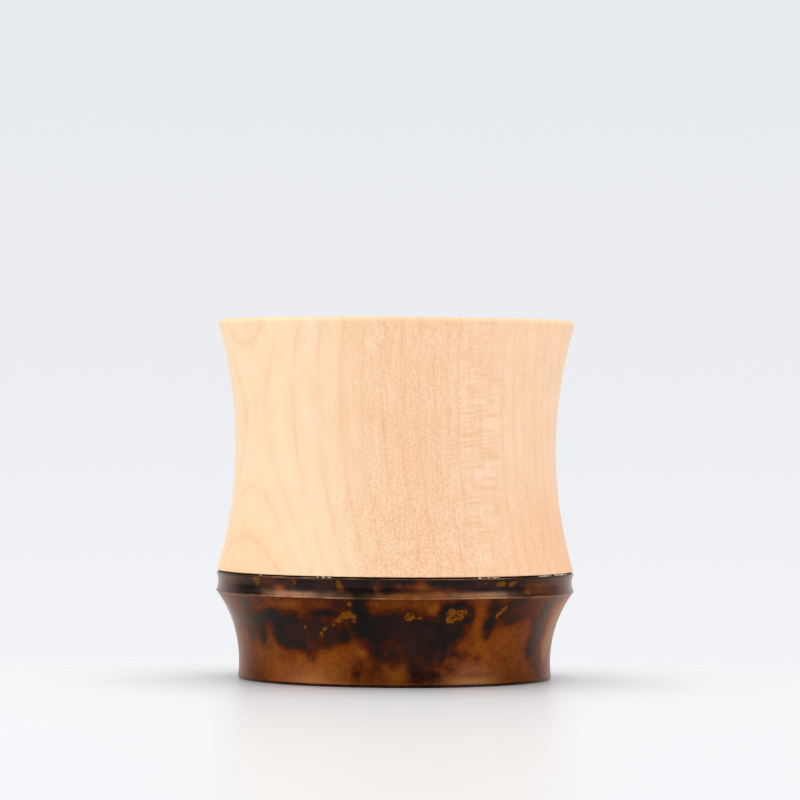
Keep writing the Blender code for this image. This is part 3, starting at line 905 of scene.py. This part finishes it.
def lathe_tree():
    """Sweeps an outline in the XZ plane about the Z axis, and welds the seam and the poles shut."""
    inputs = {"Outline": "Geometry", "Turn Steps": "Int", "Weld Distance": "Float", "Finish": "Material"}
    tree, node, given = new_tree("turn_on_the_lathe", inputs)
    outline = given["Outline"]
    count = node("GeometryNodeAttributeDomainSize", [outline], component="MESH").outputs["Point Count"]
    spans = node(MATH, [count, 1.0], operation="SUBTRACT")
    rows = node(MATH, [given["Turn Steps"], 1.0], operation="ADD")
    sizes = {"Size X": spans, "Size Y": 1.0, "Vertices X": count, "Vertices Y": rows}
    sheet = node("GeometryNodeMeshGrid", sizes)
    place = node("GeometryNodeInputPosition")
    on_sheet = node("ShaderNodeSeparateXYZ", [place]).outputs
    half = node(MATH, [spans, 0.5], operation="MULTIPLY")
    along = node(MATH, [on_sheet["X"], half], operation="ADD")
    index = node("FunctionNodeFloatToInt", [along], rounding_mode="ROUND")
    sampled = {"Geometry": outline, "Value": place, "Index": index}
    sampled = node("GeometryNodeSampleIndex", sampled, data_type="FLOAT_VECTOR", domain="POINT")
    outline_point = node("ShaderNodeSeparateXYZ", [sampled]).outputs
    turn = node(MATH, [on_sheet["Y"], 0.5], operation="ADD")
    turn = node(MATH, [turn, 2 * math.pi], operation="MULTIPLY")
    x, y = (
        node(MATH, [outline_point["X"], node(MATH, [turn], operation=wave)], operation="MULTIPLY")
        for wave in ("COSINE", "SINE")
    )
    swept = node("ShaderNodeCombineXYZ", [x, y, outline_point["Z"]])
    swept = node("GeometryNodeSetPosition", {"Geometry": sheet, "Position": swept})
    welded = node("GeometryNodeMergeByDistance", {"Geometry": swept, "Distance": given["Weld Distance"]})
    smooth = node("GeometryNodeSetShadeSmooth", {"Geometry": welded, "Shade Smooth": True})
    whole = node("GeometryNodeRealizeInstances", [smooth])
    finished = node("GeometryNodeSetMaterial", {"Geometry": whole, "Material": given["Finish"]})
    node("NodeGroupOutput", [finished])
    return tree


# Crumbs of glue: their fineness, then the least and the most that each is stretched and turned
CRUMB_SUBDIVISIONS = 2
CRUMB_STRETCH = ((0.4, 0.4, 0.3), (1.7, 1.1, 0.9))
CRUMB_TURN = ((0.0, 0.0, 0.0), (0.6, 0.6, 2 * math.pi))


def squeeze_out_tree():
    """Strews crumbs along stretches of the seam, each stretched, turned and kept or left out at random."""
    inputs = {
        "Stretches": "Geometry",
        "Crumb Radius": "Float",
        "Crumb Spacing": "Float",
        "Share Kept": "Float",
        "Seed": "Int",
        "Finish": "Material",
    }
    tree, node, given = new_tree("glue_squeeze_out", inputs)
    line = node("GeometryNodeMeshToCurve", [given["Stretches"]])
    spacing = {"Curve": line, "Length": given["Crumb Spacing"]}
    spots = node("GeometryNodeResampleCurve", spacing, mode="LENGTH")
    ball = {"Radius": given["Crumb Radius"], "Subdivisions": CRUMB_SUBDIVISIONS}
    crumb = node("GeometryNodeMeshIcoSphere", ball).outputs["Mesh"]
    chance = {"Probability": given["Share Kept"], "Seed": given["Seed"]}
    kept = node("FunctionNodeRandomValue", chance, data_type="BOOLEAN")
    size, turn = (
        node("FunctionNodeRandomValue", limits, data_type="FLOAT_VECTOR")
        for limits in (CRUMB_STRETCH, CRUMB_TURN)
    )
    for random_value in (size, turn):
        tree.links.new(given["Seed"], random_value.inputs["Seed"])
    strewn = {"Points": spots, "Selection": kept, "Instance": crumb, "Rotation": turn, "Scale": size}
    crumbs = node("GeometryNodeInstanceOnPoints", strewn)
    smooth = node("GeometryNodeSetShadeSmooth", [node("GeometryNodeRealizeInstances", [crumbs])])
    finished = node("GeometryNodeSetMaterial", {"Geometry": smooth, "Material": given["Finish"]})
    node("NodeGroupOutput", [finished])
    return tree


def placed(name, data):
    """A new object with that data, put in the scene."""
    item = bpy.data.objects.new(name, data)
    bpy.context.scene.collection.objects.link(item)
    return item


def grown(name, points, edges, tree, values):
    """A plain mesh object: points and edges put through a Geometry Nodes tree with those input values."""
    start = bpy.data.meshes.new(name + "_start")
    start.from_pydata(points, edges, [])
    piece = placed(name, start)
    modifier = piece.modifiers.new(tree.name, "NODES")
    modifier.node_group = tree
    for item in tree.interface.items_tree:
        if item.name in values:
            modifier[item.identifier] = values[item.name]
    depsgraph = bpy.context.evaluated_depsgraph_get()
    mesh = bpy.data.meshes.new_from_object(piece.evaluated_get(depsgraph), depsgraph=depsgraph)
    piece.modifiers.remove(modifier)
    piece.data = mesh
    mesh.name = name
    bpy.data.meshes.remove(start)
    return piece


def turned(name, outline, tree, steps, material):
    """One turned piece, from its outline of (radius, height) points."""
    points = [(radius, 0.0, height) for radius, height in outline]
    edges = [(i, i + 1) for i in range(len(points) - 1)]
    values = {"Turn Steps": steps, "Weld Distance": WELD_DISTANCE, "Finish": material}
    piece = grown(name, points, edges, tree, values)
    piece.data.set_sharp_from_angle(angle=SHARP_EDGE_ANGLE)
    return piece


# Where glue shows along the seam: degrees round from the front, to the right, and its length in degrees
SQUEEZE_OUT_DEGREES = (
    *((-47.2, 0.6), (-22.4, 4.8), (28.0, 2.5), (32.4, 4.0), (55.0, 7.0), (66.0, 13.0)),
    *((150.0, 5.0), (214.0, 4.0)),
)
SQUEEZE_OUT_RADIUS = 0.02725
CRUMB_RADIUS = 0.00012
CRUMB_SPACING = 0.00027
SHARE_KEPT = 0.6
CRUMB_SEED = 4
STRETCH_STEPS = 8


def make_squeeze_out(material):
    """Crumbs of glue that were squeezed out of the joint and cured in the seam."""
    points, edges = [], []
    height = SEAM_HEIGHT + FIT_GAP / 2
    for middle, length in SQUEEZE_OUT_DEGREES:
        for i in range(STRETCH_STEPS + 1):
            angle = math.radians(middle + length * (i / STRETCH_STEPS - 0.5))
            place = (SQUEEZE_OUT_RADIUS * math.sin(angle), -SQUEEZE_OUT_RADIUS * math.cos(angle), height)
            if i:
                edges.append((len(points) - 1, len(points)))
            points.append(place)
    values = {
        "Crumb Radius": CRUMB_RADIUS,
        "Crumb Spacing": CRUMB_SPACING,
        "Share Kept": SHARE_KEPT,
        "Seed": CRUMB_SEED,
        "Finish": material,
    }
    return grown("glue_squeeze_out", points, edges, squeeze_out_tree(), values)


def make_pieces():
    """The cup, its base, the glue line and the crumbs, with the solids that they stand for."""
    lathe = lathe_tree()
    epoxy = cured_epoxy()
    cup = turned("turned_maple_cup", cup_outline(), lathe, CUP_TURN_STEPS, maple())
    outline = base_outline()
    base = turned("patinated_brass_base", outline, lathe, BASE_TURN_STEPS, patinated_brass())
    paint_patina(base, outline)
    bond = turned("cured_glue_line", bond_outline(), lathe, BOND_TURN_STEPS, epoxy)
    crumbs = make_squeeze_out(epoxy)
    for piece, node, slot in (
        (cup, "maple_cup", "maple"),
        (base, "brass_base", "patinated_brass"),
        (bond, "adhesive_bond", "cured_epoxy"),
        (crumbs, None, "cured_epoxy"),
    ):
        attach(piece, "root")
        if node:
            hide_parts(node)


# The floor, and where it fades out round a point before the cup
FLOOR_RADIUS = 0.9
FLOOR_FADE_CENTRE = (0.0, -0.10, 0.0)
FLOOR_FADE_START = 0.10
FLOOR_FADE_END = 0.17
FLOOR_STEPS = 96


def make_floor():
    """White paper that fades into the backdrop, so that no horizon shows, and keeps the cup's shadow."""
    ring = [2 * math.pi * i / FLOOR_STEPS for i in range(FLOOR_STEPS)]
    points = [(FLOOR_RADIUS * math.cos(a), FLOOR_RADIUS * math.sin(a), 0.0) for a in ring]
    mesh = bpy.data.meshes.new("paper_floor")
    mesh.from_pydata(points, [], [tuple(range(FLOOR_STEPS))])
    material, node, place = new_finish("white_paper")
    reach = node(VECTOR, [place, FLOOR_FADE_CENTRE], operation="DISTANCE")
    fade = node(RANGE, [reach, FLOOR_FADE_START, FLOOR_FADE_END], **EASED)
    sockets = {"Base Color": "#e2e3e5", "Roughness": 0.35, "Specular IOR Level": 0.28}
    paper = node("ShaderNodeBsdfPrincipled", sockets)
    mixed = node("ShaderNodeMixShader", [fade, paper, node("ShaderNodeBsdfTransparent")])
    node("ShaderNodeOutputMaterial", {"Surface": mixed})
    mesh.materials.append(material)
    floor = placed("paper_floor", mesh)


# Backdrop behind the cup, from the lowest direction that the camera sees to the highest
BACKDROP_RISE = (-0.10, 0.10)
BACKDROP_TONES = ((0.0, "#f5f6f8"), (0.27, "#f1f2f6"), (0.5, "#edeef2"), (0.97, "#e7eaee"))
# The even light that falls on everything
AMBIENT_STRENGTH = 1.03
# What reflections see: a room that is dim on the camera's side, a bright ceiling and a pale ground, each as
# an axis, from where to where along it, how bright it is there, and how it goes between them
ROOM_GLOWS = (
    ("Y", 0.5, 0.88, 0.34, 0.95, EVEN),
    ("Z", 0.25, 0.85, 0.0, 1.2, EASED),
    ("Z", 0.05, -0.10, 0.0, 0.85, EASED),
)
# Panels that show only in reflections, and the glow round them: degrees round from the camera and up,
# degrees from their middle to where they end and to where they are full, and how bright they are
PANELS = (
    (-74, 33, 26, 6, 4.7),
    (63, 33, 28, 6, 3.2),
    (-68, 8, 46, 6, 1.45),
    (58, 8, 44, 6, 1.0),
)


def way_to(round_degrees, up_degrees):
    """Unit vector from the cup towards a soft box or panel."""
    turn, up = math.radians(round_degrees), math.radians(up_degrees)
    return Vector((math.sin(turn) * math.cos(up), -math.cos(turn) * math.cos(up), math.sin(up)))


def make_world():
    """A pale backdrop for the camera, a room with panels for reflections, and an even light otherwise."""
    world = bpy.data.worlds.new("studio")
    bpy.context.scene.world = world
    world.use_nodes = True
    world.node_tree.nodes.clear()
    node = functools.partial(add, world.node_tree)
    direction = node("ShaderNodeTexCoord").outputs["Generated"]
    along = node("ShaderNodeSeparateXYZ", [direction]).outputs
    path = node("ShaderNodeLightPath").outputs
    rise = node(RANGE, [along["Z"], *BACKDROP_RISE])
    backdrop = node("ShaderNodeValToRGB", [rise], stops=BACKDROP_TONES)
    glows = [node(RANGE, [along[axis], *limits], **curve) for axis, *limits, curve in ROOM_GLOWS]
    for round_degrees, up_degrees, end, full, radiance in PANELS:
        towards = node(VECTOR, [direction, way_to(round_degrees, up_degrees)], operation="DOT_PRODUCT")
        edges = [math.cos(math.radians(degrees)) for degrees in (end, full)]
        glows.append(node(RANGE, [towards, *edges, 0.0, radiance], **EASED))
    room = glows[0]
    for glow in glows[1:]:
        room = node(MATH, [room, glow], operation="MAXIMUM")
    strength = node(RANGE, [path["Is Glossy Ray"], 0.0, 1.0, 1.0, room])
    backdrop = node("ShaderNodeBackground", {"Color": backdrop, "Strength": strength})
    soft = node("ShaderNodeBackground", {"Color": "#ffffff", "Strength": AMBIENT_STRENGTH})
    seen = path["Is Camera Ray"]
    for ray in ("Is Glossy Ray", "Is Transmission Ray"):
        seen = node(MATH, [seen, path[ray]], operation="MAXIMUM")
    node("ShaderNodeOutputWorld", {"Surface": node("ShaderNodeMixShader", [seen, soft, backdrop])})


# Soft boxes: name, degrees round from the camera, degrees up, distance, width, height and radiance
SOFT_BOXES = (
    ("top_soft_box", 180, 80, 0.75, 0.50, 0.36, 3.7),
    ("left_soft_box", -80, 25, 0.75, 0.50, 0.36, 0.36),
)


def make_lights():
    """A soft box overhead and a weak one to the left, both unseen in reflections."""
    aim = Vector((0.0, 0.0, RIM_HEIGHT / 2))
    for name, round_degrees, up_degrees, distance, width, height, radiance in SOFT_BOXES:
        way = way_to(round_degrees, up_degrees)
        lamp = bpy.data.lights.new(name, "AREA")
        lamp.shape = "RECTANGLE"
        lamp.size = width
        lamp.size_y = height
        lamp.energy = math.pi * radiance * width * height
        box = placed(name, lamp)
        box.location = aim + way * distance
        box.rotation_euler = way.to_track_quat("Z", "Y").to_euler()
        box.visible_glossy = False


# Camera: level, with a long lens, a little to the right of the cup's axis and hardly rolled
FRAME_PIXELS = 800
FOCAL_PIXELS = 4250
SENSOR_MM = 36.0
CAMERA_PLACE = (0.0006, -0.6536, 0.0427)
CAMERA_ROLL = math.radians(-0.35)


def make_camera():
    """The camera, before the cup and looking at it along +Y."""
    lens = bpy.data.cameras.new("camera")
    lens.sensor_width = SENSOR_MM
    lens.lens = SENSOR_MM * FOCAL_PIXELS / FRAME_PIXELS
    camera = placed("camera", lens)
    camera.location = CAMERA_PLACE
    camera.rotation_euler = (math.pi / 2, CAMERA_ROLL, 0.0)
    bpy.context.scene.camera = camera


make_pieces()
make_floor()
make_world()
make_lights()
make_camera()
bpy.context.scene.view_settings.view_transform = "Standard"
